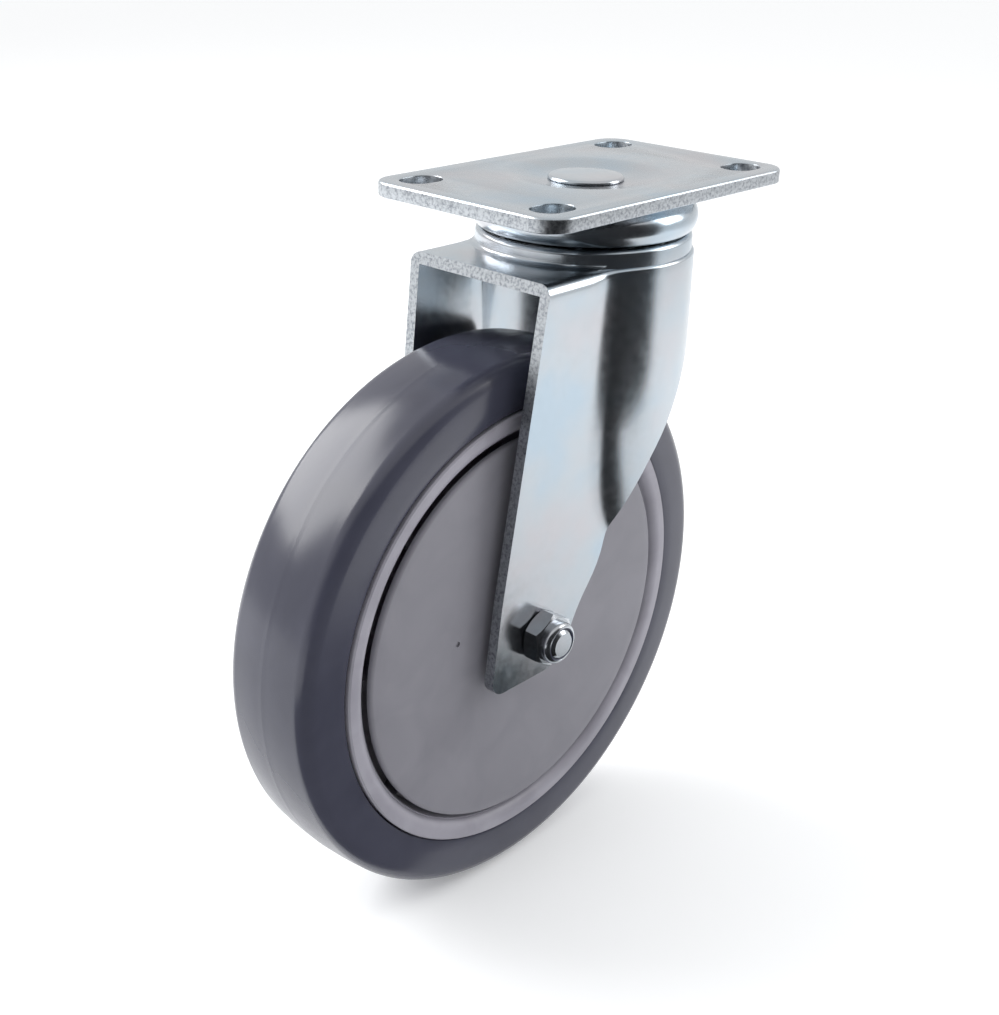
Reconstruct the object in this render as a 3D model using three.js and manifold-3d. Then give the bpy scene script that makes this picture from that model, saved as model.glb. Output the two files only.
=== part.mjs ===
// Swivel plate caster: a pressed top plate, a two-row ball swivel head, a pressed fork and a 150 mm
// rubber-tyred wheel on two ball bearings. Millimetres, +Z up. The origin is where the swivel axis
// meets the plate's top face, +X runs along the plate's long side and the wheel trails towards -X.
import * as THREE from "three";
import { mergeVertices } from "three/addons/utils/BufferGeometryUtils.js";
import Module from "manifold-3d";

const wasm = await Module();
wasm.setup();

// ---- driving dimensions ----
const GAP = 0.3; // clearance between neighbouring pieces

const PLATE = { length: 95, width: 61, thick: 2.8, cornerR: 7, edge: 0.7 };
const SLOT = { length: 11.5, width: 9, pitchX: 75, pitchY: 43 };
const DISH = { floorR: 13, rimR: 20.5, depth: 2.4 }; // pressed round the king pin, from the top
const PIN = {
  headR: 9.8,
  headEdge: 0.9, // straight part of the head's side
  headRound: 1,
  headRise: 0.55,
  domeTop: -0.3,
  domeDrop: 0.12, // fall of the head's top half way out
  shoulderR: 7,
  tailR: 5.5,
  rivetR: 7.6,
  rivetH: 2.4,
  rivetFaceR: 4.4,
  rivetRound: 0.6,
};

const UPPER_BALL = { r: 3.175, pitchR: 23, z: -10.6, count: 14 };
const LOWER_BALL = { r: 2.38, pitchR: 16, z: -18.2, count: 12 };
const RING = { neckR: 26.8, bulgeR: 5, bulgeCentreR: 24.1, bulgeZ: -9.2, lipZ: -12.7, flangeR: 21.2 };

const SHEET = 3; // fork metal
const BEYOND = 40; // half length of a tool that cuts right across the fork
const FORK = {
  topZ: -17.6,
  shoulderY: 23.4, // half width across the legs at the top, measured to the square corner
  legY: 20.5, // half width from parallelZ down
  parallelZ: -99,
  bendR: 3.2,
  barFrontX: -70,
  barEndX: -8,
  frontTopX: -38,
  frontFootX: -53,
  footZ: -124.3,
  footR: 4, // front corner of the foot
  footRake: 0.6, // lean of the front edge over that corner
  heelEase: 5, // reach of the curve from the foot into the heel
  heelX: -31,
  heelTopX: -24,
  heelTopZ: -117.5,
  rearEndX: 31,
  rearEdge: [
    [-19.5, -109],
    [-12.2, -99.1],
    [-9.2, -88],
    [-2, -71.8],
    [4.2, -60.9],
    [12.5, -47.5],
    [20, -37.5],
    [31, -31],
  ],
};
const BACK = {
  topR: 28.8,
  profile: [
    [28.8, -42],
    [28.3, -60],
    [25.6, -80],
    [22.2, -92],
    [12, -99],
  ],
};
const HEAD = {
  outerR: 28.2,
  topZ: -13.3,
  ridgeZ: -12.6,
  innerFaceZ: -16.5,
  soffitZ: -17.9,
  boreR: 12,
  throatR: 22.4, // opening in the yoke under the head
  shoulder: 1.4,
  lap: 1.7, // how far the head stands on the yoke round the throat
};
const CUP = { outerR: 20.5, topZ: -20.5, thick: 2.6, rimZ: -19.4, rimWide: 1.2, rimFoot: 1.6, edge: 1 };
const WASHER = { outerR: 9.5, thick: 1.6 };

const AXLE = { x: -35.5, z: -112, r: 4 };
const NUT = { flats: 13, hexH: 5, collarR: 5.7, collarH: 2.7, collarWall: 0.6, lip: 0.4, pocketH: 2, boltEnd: 0.5 };
const BOLT_HEAD = { flats: 13, height: 5.3 };
const SLEEVE = { outerR: 6, boreR: 4.3 };
const BEARING = { outerR: 14, innerR: 9, width: 8, ballR: 2.2, ballPitchR: 10.2, balls: 7, faceY: 12.5 };

const TYRE = { outerR: 75, seatR: 61.3, halfW: 14.5, shoulder: 4.2, crown: 1.15 };
const RIM = { outerR: 61, faceR: 60.6, faceY: 15.2, wellR: 56.2, wellY: 12.2, barrelR: 53 };
const HUB = { outerR: 18.5, halfW: 12.4, webHalf: 2.5, ribs: 8, ribThick: 3, ribHalfW: 10 };
const GUARD = { outerR: 54, faceY: 15.1, thick: 2, bossR: 10.5 };

const FINE = 44; // facets round the wheel
const MEDIUM = 32; // facets round the swivel head
const SMALL = 18; // facets round the axle pieces

// ---- colours ----
const zinc = new THREE.MeshStandardMaterial({ color: 0xc6ced4, roughness: 0.24, metalness: 1 });
const steel = new THREE.MeshStandardMaterial({ color: 0xb9bcc0, roughness: 0.18, metalness: 1 });
const tyreRubber = new THREE.MeshStandardMaterial({ color: 0x55565f, roughness: 0.42, metalness: 0 });
const corePlastic = new THREE.MeshStandardMaterial({ color: 0x9b99a3, roughness: 0.45, metalness: 0 });
const guardPlastic = new THREE.MeshStandardMaterial({ color: 0x87888d, roughness: 0.5, metalness: 0 });
const nylon = new THREE.MeshStandardMaterial({ color: 0x3a3f57, roughness: 0.4, metalness: 0 });

// ---- solids and booleans ----
function solidOf(geometry) {
  const bare = geometry.clone();
  bare.deleteAttribute("normal");
  bare.deleteAttribute("uv");
  const merged = mergeVertices(bare, 1e-4);
  const mesh = new wasm.Mesh({
    numProp: 3,
    vertProperties: merged.attributes.position.array,
    triVerts: new Uint32Array(merged.index.array),
  });
  return new wasm.Manifold(mesh);
}

function geometryOf(solid) {
  const mesh = solid.getMesh();
  const geometry = new THREE.BufferGeometry();
  geometry.setAttribute("position", new THREE.BufferAttribute(mesh.vertProperties, 3));
  geometry.setIndex(new THREE.BufferAttribute(mesh.triVerts, 1));
  geometry.computeVertexNormals();
  return geometry;
}

function union(solids) {
  return solids.reduce((whole, next) => whole.add(next));
}

// A closed outline of [radius, height] points turned about Y, whichever way round it is listed.
function turned(outline, facets) {
  const points = outline.map(([r, h]) => new THREE.Vector2(r, h));
  if (THREE.ShapeUtils.area(points) < 0) points.reverse();
  const onAxis = points.findIndex((p) => p.x === 0);
  if (onAxis < 0) {
    points.push(points[0].clone());
    return new THREE.LatheGeometry(points, facets);
  }
  // A piece that reaches the axis starts at its lower axis point and ends at its upper one.
  const axis = points.filter((p) => p.x === 0).sort((a, b) => a.y - b.y);
  const start = points.indexOf(axis[0]);
  const open = [...points.slice(start), ...points.slice(0, start)];
  return new THREE.LatheGeometry(open, facets);
}

const aboutZ = (outline, facets) => turned(outline, facets).rotateX(Math.PI / 2);

// Points on an arc in the [radius, height] plane, both ends included, angles in degrees.
function arc(centreR, centreH, radius, fromDeg, toDeg, steps) {
  return Array.from({ length: steps + 1 }, (_, i) => {
    const a = THREE.MathUtils.degToRad(fromDeg + ((toDeg - fromDeg) * i) / steps);
    return [centreR + radius * Math.cos(a), centreH + radius * Math.sin(a)];
  });
}

const prism = (shape, depth) =>
  new THREE.ExtrudeGeometry(shape, { depth, bevelEnabled: false, curveSegments: 10 });

// A side outline in X and Z, made solid from -halfDepth to +halfDepth in Y.
function sidePrism(shape, halfDepth) {
  return prism(shape, 2 * halfDepth).rotateX(Math.PI / 2).translate(0, halfDepth, 0);
}

function box(x0, x1, y0, y1, z0, z1) {
  return new THREE.BoxGeometry(x1 - x0, y1 - y0, z1 - z0).translate(
    (x0 + x1) / 2,
    (y0 + y1) / 2,
    (z0 + z1) / 2,
  );
}

// A cylinder along Y at the axle, from y0 to y1.
function axleCylinder(r, y0, y1, facets) {
  return new THREE.CylinderGeometry(r, r, y1 - y0, facets).translate(AXLE.x, (y0 + y1) / 2, AXLE.z);
}

const atAxle = (geometry) => geometry.translate(AXLE.x, 0, AXLE.z);

// ---- top plate and swivel head ----
function roundedRectangle(length, width, r) {
  const shape = new THREE.Shape();
  const x = length / 2 - r;
  const y = width / 2 - r;
  shape.absarc(x, y, r, 0, Math.PI / 2, false);
  shape.absarc(-x, y, r, Math.PI / 2, Math.PI, false);
  shape.absarc(-x, -y, r, Math.PI, 1.5 * Math.PI, false);
  shape.absarc(x, -y, r, 1.5 * Math.PI, 2 * Math.PI, false);
  return shape;
}

function slotPath(cx, cy) {
  const r = SLOT.width / 2;
  const reach = SLOT.length / 2 - r;
  const path = new THREE.Path();
  path.absarc(cx + reach, cy, r, Math.PI / 2, -Math.PI / 2, true);
  path.absarc(cx - reach, cy, r, -Math.PI / 2, -1.5 * Math.PI, true);
  return path;
}

// Flat sheet with rolled edges, four bolt slots and a dish pressed round the king pin.
function topPlate() {
  const e = PLATE.edge;
  const shape = roundedRectangle(PLATE.length - 2 * e, PLATE.width - 2 * e, PLATE.cornerR - e);
  for (const sx of [-1, 1])
    for (const sy of [-1, 1]) shape.holes.push(slotPath((sx * SLOT.pitchX) / 2, (sy * SLOT.pitchY) / 2));
  const sheet = new THREE.ExtrudeGeometry(shape, {
    depth: PLATE.thick - 2 * e,
    bevelThickness: e,
    bevelSize: e,
    bevelSegments: 1,
    curveSegments: 5,
  }).translate(0, 0, -PLATE.thick + e);
  const lap = 1;
  const centre = new THREE.CylinderGeometry(DISH.rimR + lap, DISH.rimR + lap, 2 * PLATE.thick, MEDIUM);
  const rim = DISH.rimR + 2 * lap;
  const pressed = aboutZ(
    [
      [PIN.tailR + GAP, -DISH.depth],
      [DISH.floorR, -DISH.depth],
      [DISH.rimR, 0],
      [rim, 0],
      [rim, -PLATE.thick],
      [DISH.rimR - lap, -PLATE.thick],
      [DISH.floorR - lap, -DISH.depth - PLATE.thick],
      [PIN.tailR + GAP, -DISH.depth - PLATE.thick],
    ],
    MEDIUM,
  );
  const holed = solidOf(sheet).subtract(solidOf(centre.rotateX(Math.PI / 2)));
  return geometryOf(holed.add(solidOf(pressed)));
}

// Pressed ring under the plate: a short neck, then a bulge that covers the upper balls.
function upperRaceRing() {
  const under = -PLATE.thick - GAP;
  const groove = UPPER_BALL.r + GAP;
  const lip = THREE.MathUtils.radToDeg(Math.asin((RING.lipZ - UPPER_BALL.z) / groove));
  const flareDeg = THREE.MathUtils.radToDeg(Math.acos((RING.neckR - RING.bulgeCentreR) / RING.bulgeR));
  const tuckDeg = THREE.MathUtils.radToDeg(Math.asin((RING.lipZ - RING.bulgeZ) / RING.bulgeR));
  return aboutZ(
    [
      [RING.flangeR, under],
      [RING.neckR, under],
      ...arc(RING.bulgeCentreR, RING.bulgeZ, RING.bulgeR, flareDeg, tuckDeg, 6),
      ...arc(UPPER_BALL.pitchR, UPPER_BALL.z, groove, lip, 90, 4),
      [RING.flangeR, UPPER_BALL.z + groove],
    ],
    MEDIUM,
  );
}

// Balls held at even spacing by a flat retainer, so the row is one closed piece.
function ballRow({ r, pitchR, count }, cageHalfR, cageHalfH) {
  const cage = turned(
    [
      [pitchR - cageHalfR, -cageHalfH],
      [pitchR + cageHalfR, -cageHalfH],
      [pitchR + cageHalfR, cageHalfH],
      [pitchR - cageHalfR, cageHalfH],
    ],
    count,
  );
  const balls = Array.from({ length: count }, (_, i) => {
    const a = (2 * Math.PI * i) / count;
    return new THREE.SphereGeometry(r, 8, 5).translate(pitchR * Math.sin(a), 0, pitchR * Math.cos(a));
  });
  return geometryOf(union([cage, ...balls].map(solidOf)));
}

function swivelBallRow(row) {
  return ballRow(row, 1.2, 0.5).rotateX(Math.PI / 2).translate(0, 0, row.z);
}

const CUP_BOTTOM = CUP.topZ - CUP.thick;
const WASHER_BOTTOM = CUP_BOTTOM - GAP - WASHER.thick;

// Riveted pin: a domed head in the plate's dish, a shoulder that spaces the races, a headed-over tail.
function kingPin() {
  const seat = -DISH.depth + GAP;
  const edge = seat + PIN.headEdge;
  const shoulderTop = -DISH.depth - PLATE.thick - GAP;
  const shoulderEnd = CUP.topZ + GAP;
  const tailTop = WASHER_BOTTOM - GAP;
  return aboutZ(
    [
      [0, tailTop - PIN.rivetH],
      [PIN.rivetFaceR, tailTop - PIN.rivetH + PIN.rivetRound / 2],
      [PIN.rivetR - PIN.rivetRound, tailTop - PIN.rivetH / 2],
      [PIN.rivetR, tailTop],
      [PIN.tailR, tailTop],
      [PIN.tailR, shoulderEnd],
      [PIN.shoulderR, shoulderEnd],
      [PIN.shoulderR, shoulderTop],
      [PIN.tailR, shoulderTop],
      [PIN.tailR, seat],
      [PIN.headR, seat],
      [PIN.headR, edge],
      [PIN.headR - PIN.headRound, edge + PIN.headRise],
      [PIN.headR / 2, PIN.domeTop - PIN.domeDrop],
      [0, PIN.domeTop],
    ],
    SMALL + 6,
  );
}

// Pressed cup under the fork that carries the lower balls.
function lowerRaceCup() {
  const groove = LOWER_BALL.r + GAP;
  const depth = THREE.MathUtils.radToDeg(Math.asin((LOWER_BALL.z - CUP.topZ) / groove));
  return aboutZ(
    [
      [PIN.tailR + GAP, CUP.topZ],
      ...arc(LOWER_BALL.pitchR, LOWER_BALL.z, groove, 180 + depth, 360 - depth, 5),
      [CUP.outerR - CUP.rimFoot, CUP.topZ],
      [CUP.outerR - CUP.rimWide, CUP.rimZ],
      [CUP.outerR, CUP.rimZ],
      [CUP.outerR, CUP_BOTTOM + CUP.edge],
      [CUP.outerR - CUP.edge, CUP_BOTTOM],
      [PIN.tailR + GAP, CUP_BOTTOM],
    ],
    MEDIUM,
  );
}

function pinWasher() {
  const top = CUP_BOTTOM - GAP;
  return aboutZ(
    [
      [PIN.tailR + GAP, top],
      [WASHER.outerR, top],
      [WASHER.outerR, top - WASHER.thick],
      [PIN.tailR + GAP, top - WASHER.thick],
    ],
    SMALL,
  );
}

// ---- fork ----
// Cross-section of the yoke from the front: its legs draw in until they run parallel at the axle.
function yokeSection(inset) {
  const r = Math.max(FORK.bendR - inset, 0.4);
  const top = FORK.topZ - inset;
  const foot = FORK.footZ - 6;
  const legY = FORK.legY - inset;
  const shoulderY = FORK.shoulderY - inset;
  const underBendY = shoulderY - (r * (shoulderY - legY)) / (top - FORK.parallelZ);
  const shape = new THREE.Shape();
  shape.moveTo(-legY, foot);
  shape.lineTo(-legY, FORK.parallelZ);
  shape.lineTo(-underBendY, top - r);
  shape.quadraticCurveTo(-shoulderY, top, -shoulderY + r, top);
  shape.lineTo(shoulderY - r, top);
  shape.quadraticCurveTo(shoulderY, top, underBendY, top - r);
  shape.lineTo(legY, FORK.parallelZ);
  shape.lineTo(legY, foot);
  shape.closePath();
  return shape;
}

// The yoke as a solid bar of that section, running in X from the front to the round back's axis.
function yokeBar(inset) {
  const length = FORK.barEndX - FORK.barFrontX;
  const bar = new THREE.ExtrudeGeometry(yokeSection(inset), {
    depth: length,
    bevelEnabled: false,
    curveSegments: 5,
  });
  // The outline's X becomes Y and its Y becomes Z, and the depth runs along +X.
  return solidOf(bar.rotateX(Math.PI / 2).rotateZ(Math.PI / 2).translate(FORK.barFrontX, 0, 0));
}

// The drawn back: a round skirt about the swivel axis that narrows until it fades into the legs.
function roundBack(inset) {
  const top = FORK.topZ - inset;
  return solidOf(
    aboutZ(
      [
        [0, top],
        [BACK.topR - inset, top],
        ...BACK.profile.map(([r, z]) => [r - inset, z]),
        [0, BACK.profile[BACK.profile.length - 1][1]],
      ],
      FINE,
    ),
  );
}

// Side outline in X and Z: a straight front edge, a rounded foot round the axle and a swept rear edge.
function forkSide() {
  const top = HEAD.ridgeZ;
  const { frontTopX, frontFootX, footZ, heelX, heelTopX, heelTopZ, rearEdge, rearEndX } = FORK;
  const shape = new THREE.Shape();
  shape.moveTo(frontTopX, top);
  shape.lineTo(frontFootX + FORK.footRake, footZ + FORK.footR);
  shape.quadraticCurveTo(frontFootX, footZ, frontFootX + FORK.footR, footZ);
  shape.lineTo(heelX, footZ);
  shape.quadraticCurveTo(heelX + FORK.heelEase, footZ, heelTopX, heelTopZ);
  for (const [x, z] of rearEdge) shape.lineTo(x, z);
  shape.lineTo(rearEndX, top);
  shape.closePath();
  return shape;
}

// The raised round head of the fork: a race on top for the upper balls, one below for the lower.
function forkHead() {
  const above = UPPER_BALL.r + GAP;
  const below = LOWER_BALL.r + GAP;
  const outer = THREE.MathUtils.radToDeg(Math.asin((HEAD.topZ - UPPER_BALL.z) / above));
  const inner = THREE.MathUtils.radToDeg(Math.asin((HEAD.ridgeZ - UPPER_BALL.z) / above));
  const lower = THREE.MathUtils.radToDeg(Math.asin((HEAD.innerFaceZ - LOWER_BALL.z) / below));
  const soffit = HEAD.soffitZ;
  return aboutZ(
    [
      [HEAD.outerR, soffit],
      ...arc(HEAD.outerR - HEAD.shoulder, HEAD.topZ - HEAD.shoulder, HEAD.shoulder, 0, 90, 3),
      ...arc(UPPER_BALL.pitchR, UPPER_BALL.z, above, outer, -180 - inner, 5),
      [HEAD.boreR, HEAD.ridgeZ],
      [HEAD.boreR, HEAD.innerFaceZ],
      ...arc(LOWER_BALL.pitchR, LOWER_BALL.z, below, 180 - lower, lower, 5),
      [HEAD.throatR - 2, soffit],
    ],
    MEDIUM,
  );
}

function swivelFork() {
  const outline = solidOf(sidePrism(forkSide(), BEYOND));
  const sheet = yokeBar(0).add(roundBack(0)).subtract(yokeBar(SHEET).add(roundBack(SHEET)));
  const throatR = HEAD.outerR - HEAD.lap;
  const throat = solidOf(
    aboutZ(
      [
        [0, FORK.topZ - SHEET - 1],
        [HEAD.throatR, FORK.topZ - SHEET - 1],
        [HEAD.throatR, HEAD.soffitZ],
        [throatR, HEAD.soffitZ],
        [throatR, 0],
        [0, 0],
      ],
      MEDIUM,
    ),
  );
  const axleHole = solidOf(axleCylinder(AXLE.r + GAP, -BEYOND, BEYOND, SMALL));
  const yoke = sheet.intersect(outline).subtract(throat);
  return geometryOf(yoke.add(solidOf(forkHead())).subtract(axleHole));
}

// ---- axle ----
const LEG_OUT = FORK.legY + GAP;
const NUT_FACE = LEG_OUT + NUT.hexH + NUT.collarH;

function hexPrism(flats, y0, y1) {
  return axleCylinder(flats / Math.sqrt(3), y0, y1, 6);
}

// Hex bolt: the head is on the far leg, the end just clears the nut's collar on the near one.
function axleBolt() {
  const head = hexPrism(BOLT_HEAD.flats, LEG_OUT, LEG_OUT + BOLT_HEAD.height);
  const end = -NUT_FACE - NUT.boltEnd;
  const shank = axleCylinder(AXLE.r, end, LEG_OUT + 1, SMALL);
  return geometryOf(solidOf(head).add(solidOf(shank)));
}

// Lock nut: a hex body with a round collar that is rolled over its insert.
function axleNut() {
  const hex = hexPrism(NUT.flats, -LEG_OUT - NUT.hexH, -LEG_OUT);
  const collar = axleCylinder(NUT.collarR, -NUT_FACE, -LEG_OUT - NUT.hexH + 0.5, SMALL);
  const bore = axleCylinder(AXLE.r + GAP, -NUT_FACE - 1, -LEG_OUT + 1, SMALL);
  const pocket = axleCylinder(
    NUT.collarR - NUT.collarWall,
    -NUT_FACE + NUT.lip,
    -NUT_FACE + NUT.lip + NUT.pocketH,
    SMALL,
  );
  return geometryOf(solidOf(hex).add(solidOf(collar)).subtract(solidOf(bore)).subtract(solidOf(pocket)));
}

function nutInsert() {
  const outerR = NUT.collarR - NUT.collarWall - GAP;
  const front = -NUT_FACE + NUT.lip + GAP;
  const back = -NUT_FACE + NUT.lip + NUT.pocketH - GAP;
  return atAxle(
    turned(
      [
        [AXLE.r + GAP, front],
        [outerR, front],
        [outerR, back],
        [AXLE.r + GAP, back],
      ],
      SMALL,
    ),
  );
}

function axleSleeve() {
  const half = FORK.legY - SHEET - GAP;
  return atAxle(
    turned(
      [
        [SLEEVE.boreR, -half],
        [SLEEVE.outerR, -half],
        [SLEEVE.outerR, half],
        [SLEEVE.boreR, half],
      ],
      SMALL,
    ),
  );
}

// ---- bearings ----
const raceGroove = BEARING.ballR + GAP;
const BEARING_MID = BEARING.faceY - BEARING.width / 2;

function bearingRing(boreR, faceR, grooveFrom, grooveTo, side) {
  const half = BEARING.width / 2;
  return atAxle(
    turned(
      [
        [boreR, -half],
        [boreR, half],
        [faceR, half],
        ...arc(BEARING.ballPitchR, 0, raceGroove, grooveFrom, grooveTo, 3),
        [faceR, -half],
      ],
      SMALL,
    ).translate(0, side * BEARING_MID, 0),
  );
}

// Angle at which a race at the given radius meets the ball's own circle.
function grooveAngle(faceR) {
  return THREE.MathUtils.radToDeg(Math.acos(Math.abs(faceR - BEARING.ballPitchR) / raceGroove));
}

function bearingInner(side) {
  const faceR = BEARING.innerR;
  const a = grooveAngle(faceR);
  return bearingRing(SLEEVE.outerR + GAP, faceR, 180 - a, 180 + a, side);
}

function bearingOuter(side) {
  const faceR = 2 * BEARING.ballPitchR - BEARING.innerR;
  const a = grooveAngle(faceR);
  return bearingRing(BEARING.outerR, faceR, a, -a, side);
}

function bearingBalls(side) {
  const row = { r: BEARING.ballR, pitchR: BEARING.ballPitchR, count: BEARING.balls };
  return atAxle(ballRow(row, 0.6, 1).translate(0, side * BEARING_MID, 0));
}

// ---- wheel ----
// Moulded core: hub, web with radial ribs, and a rim whose light face shows round the guard.
function wheelCore() {
  const h = HUB.halfW;
  const seat = BEARING.outerR + GAP;
  const stop = BEARING.faceY - BEARING.width - GAP;
  const half = [
    [11, 0],
    [11, stop],
    [seat, stop],
    [seat, h],
    [HUB.outerR, h],
    [HUB.outerR + 0.8, HUB.webHalf],
    [RIM.barrelR, HUB.webHalf],
    [RIM.barrelR + 1, RIM.wellY],
    [RIM.wellR, RIM.wellY + 0.6],
    [RIM.wellR + 0.6, RIM.faceY],
    [RIM.faceR, RIM.faceY],
    [RIM.outerR, RIM.faceY - 0.8],
    [RIM.outerR, 0],
  ];
  const mirrored = half
    .slice(1, -1)
    .reverse()
    .map(([r, y]) => [r, -y]);
  const body = solidOf(turned([...half, ...mirrored], FINE));
  const ribs = Array.from({ length: HUB.ribs }, (_, i) => {
    const rib = box(HUB.outerR - 1, RIM.barrelR + 2, -HUB.ribHalfW, HUB.ribHalfW, 0, HUB.ribThick);
    return solidOf(rib.translate(0, 0, -HUB.ribThick / 2).rotateY((2 * Math.PI * i) / HUB.ribs));
  });
  return atAxle(geometryOf(union([body, ...ribs])));
}

// Soft tyre moulded on the rim: flat sidewalls, round shoulders and a slightly crowned tread.
function tyre() {
  const { outerR, seatR, halfW, shoulder, crown } = TYRE;
  const edgeR = outerR - crown - shoulder;
  const flat = halfW - shoulder;
  const tread = Array.from({ length: 3 }, (_, i) => {
    const y = flat * (1 - (i + 1) / 2);
    return [outerR - crown * (y / flat) ** 2, y];
  });
  const side = arc(edgeR, flat, shoulder, 90, 0, 4);
  const half = [[seatR, halfW - 0.7], [seatR + 0.7, halfW], ...side];
  const lower = half.map(([r, y]) => [r, -y]).reverse();
  return atAxle(turned([...half, ...tread.filter(([, y]) => Math.abs(y) < flat - 1), ...lower], FINE));
}

// Fixed disc that covers the hub; its boss is clamped between the leg and the bearing.
function threadGuard(side) {
  const inside = GUARD.faceY - GUARD.thick;
  const bore = SLEEVE.outerR + GAP;
  const profile = [
    [bore, BEARING.faceY + GAP],
    [BEARING.innerR, BEARING.faceY + GAP],
    [BEARING.innerR, inside],
    [GUARD.outerR - 0.3, inside],
    [GUARD.outerR, inside + 0.5],
    [GUARD.outerR, GUARD.faceY - 0.8],
    [GUARD.outerR - 0.8, GUARD.faceY],
    [GUARD.bossR, GUARD.faceY],
    [GUARD.bossR, FORK.legY - SHEET - GAP],
    [bore, FORK.legY - SHEET - GAP],
  ];
  return atAxle(turned(profile.map(([r, y]) => [r, side * y]), FINE));
}

// ---- assembly ----
const NEAR = -1; // the side with the nut
const FAR = 1;

const pieces = [
  ["top_plate", topPlate(), zinc],
  ["upper_race_ring", upperRaceRing(), zinc],
  ["king_pin", kingPin(), zinc],
  ["upper_ball_row", swivelBallRow(UPPER_BALL), steel],
  ["swivel_fork", swivelFork(), zinc],
  ["lower_ball_row", swivelBallRow(LOWER_BALL), steel],
  ["lower_race_cup", lowerRaceCup(), zinc],
  ["king_pin_washer", pinWasher(), zinc],
  ["axle_bolt", axleBolt(), zinc],
  ["axle_nut", axleNut(), zinc],
  ["axle_nut_insert", nutInsert(), nylon],
  ["axle_sleeve", axleSleeve(), steel],
  ["bearing_inner_ring_near", bearingInner(NEAR), steel],
  ["bearing_outer_ring_near", bearingOuter(NEAR), steel],
  ["bearing_balls_near", bearingBalls(NEAR), steel],
  ["bearing_inner_ring_far", bearingInner(FAR), steel],
  ["bearing_outer_ring_far", bearingOuter(FAR), steel],
  ["bearing_balls_far", bearingBalls(FAR), steel],
  ["wheel_core", wheelCore(), corePlastic],
  ["tyre", tyre(), tyreRubber],
  ["thread_guard_near", threadGuard(NEAR), guardPlastic],
  ["thread_guard_far", threadGuard(FAR), guardPlastic],
];

const group = new THREE.Group();
group.name = "swivel_plate_caster";
for (const [name, geometry, material] of pieces) {
  const mesh = new THREE.Mesh(geometry, material);
  mesh.name = name;
  group.add(mesh);
}

export default group;
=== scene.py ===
import math

import bpy
from mathutils import Matrix, Vector


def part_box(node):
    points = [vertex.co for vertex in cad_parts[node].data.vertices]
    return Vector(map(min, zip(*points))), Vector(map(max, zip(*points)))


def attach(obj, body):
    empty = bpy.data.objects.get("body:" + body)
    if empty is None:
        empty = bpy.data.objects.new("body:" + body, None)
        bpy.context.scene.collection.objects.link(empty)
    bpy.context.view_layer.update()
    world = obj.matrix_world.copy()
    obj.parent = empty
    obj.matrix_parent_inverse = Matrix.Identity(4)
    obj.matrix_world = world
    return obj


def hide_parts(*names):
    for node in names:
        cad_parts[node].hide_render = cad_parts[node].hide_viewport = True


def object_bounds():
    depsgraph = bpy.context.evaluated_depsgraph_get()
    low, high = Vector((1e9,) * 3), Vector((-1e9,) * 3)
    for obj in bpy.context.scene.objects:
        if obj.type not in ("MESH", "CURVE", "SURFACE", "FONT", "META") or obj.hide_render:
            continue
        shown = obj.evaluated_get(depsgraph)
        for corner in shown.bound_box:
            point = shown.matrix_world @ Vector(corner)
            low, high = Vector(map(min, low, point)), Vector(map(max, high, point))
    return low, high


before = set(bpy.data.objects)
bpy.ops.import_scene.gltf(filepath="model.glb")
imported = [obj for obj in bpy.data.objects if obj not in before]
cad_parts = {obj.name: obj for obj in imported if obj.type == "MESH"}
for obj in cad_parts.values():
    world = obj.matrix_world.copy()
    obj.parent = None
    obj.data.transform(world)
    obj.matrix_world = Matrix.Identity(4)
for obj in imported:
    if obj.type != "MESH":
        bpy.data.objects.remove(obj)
cad_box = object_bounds()


# ---- studio ----
# The caster stands on a pale floor in a white studio. The camera side of the room is dark, so
# polished zinc shows dark where it faces the viewer and bright where it turns away.
MM = 0.001
FLOOR_WHITE, FLOOR_GLOW = "F4F5F6", 0.2
ROOM_WHITE = "FFFFFF"
ROOM_DARK = "32353A"
VIEW_AZIMUTH, VIEW_ELEVATION, VIEW_ROLL = -47.32, 24.548, 1.321  # degrees
VIEW_DISTANCE, VIEW_RIGHT, VIEW_UP, VIEW_AIM_Z = 386.329, 20.388, 12.5, -80.0  # mm
LENS, SENSOR = 49.19, 36.0


def linear(hex_colour):
    """An sRGB hex colour as linear RGBA."""
    values = [int(hex_colour[i : i + 2], 16) / 255 for i in (0, 2, 4)]
    return [v / 12.92 if v <= 0.04045 else ((v + 0.055) / 1.055) ** 2.4 for v in values] + [1.0]


def add(tree, kind, values=None, links=None, **settings):
    """Adds one shader node with its settings, its socket values and the links into it."""
    node = tree.nodes.new("ShaderNode" + kind)
    for name, value in settings.items():
        setattr(node, name, value)
    for socket, value in (values or {}).items():
        node.inputs[socket].default_value = value
    for socket, source in (links or {}).items():
        tree.links.new(source, node.inputs[socket])
    return node


def deselect():
    bpy.ops.object.select_all(action="DESELECT")


azimuth, elevation, roll = (math.radians(a) for a in (VIEW_AZIMUTH, VIEW_ELEVATION, VIEW_ROLL))
back = Vector(
    (math.sin(azimuth) * math.cos(elevation), -math.cos(azimuth) * math.cos(elevation), math.sin(elevation))
)
level = (-back).cross(Vector((0, 0, 1))).normalized()
upright = level.cross(-back)
right = level * math.cos(roll) + upright * math.sin(roll)
up = upright * math.cos(roll) - level * math.sin(roll)
eye = (Vector((0, 0, VIEW_AIM_Z)) + back * VIEW_DISTANCE - right * VIEW_RIGHT - up * VIEW_UP) * MM
camera_data = bpy.data.cameras.new("studio_camera")
camera = bpy.data.objects.new("studio_camera", camera_data)
bpy.context.scene.collection.objects.link(camera)
camera_data.lens = LENS
camera_data.sensor_width = SENSOR
camera_data.clip_start = 0.01
camera_data.clip_end = 60
turn = Matrix((right, up, back)).transposed().to_4x4()
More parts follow.
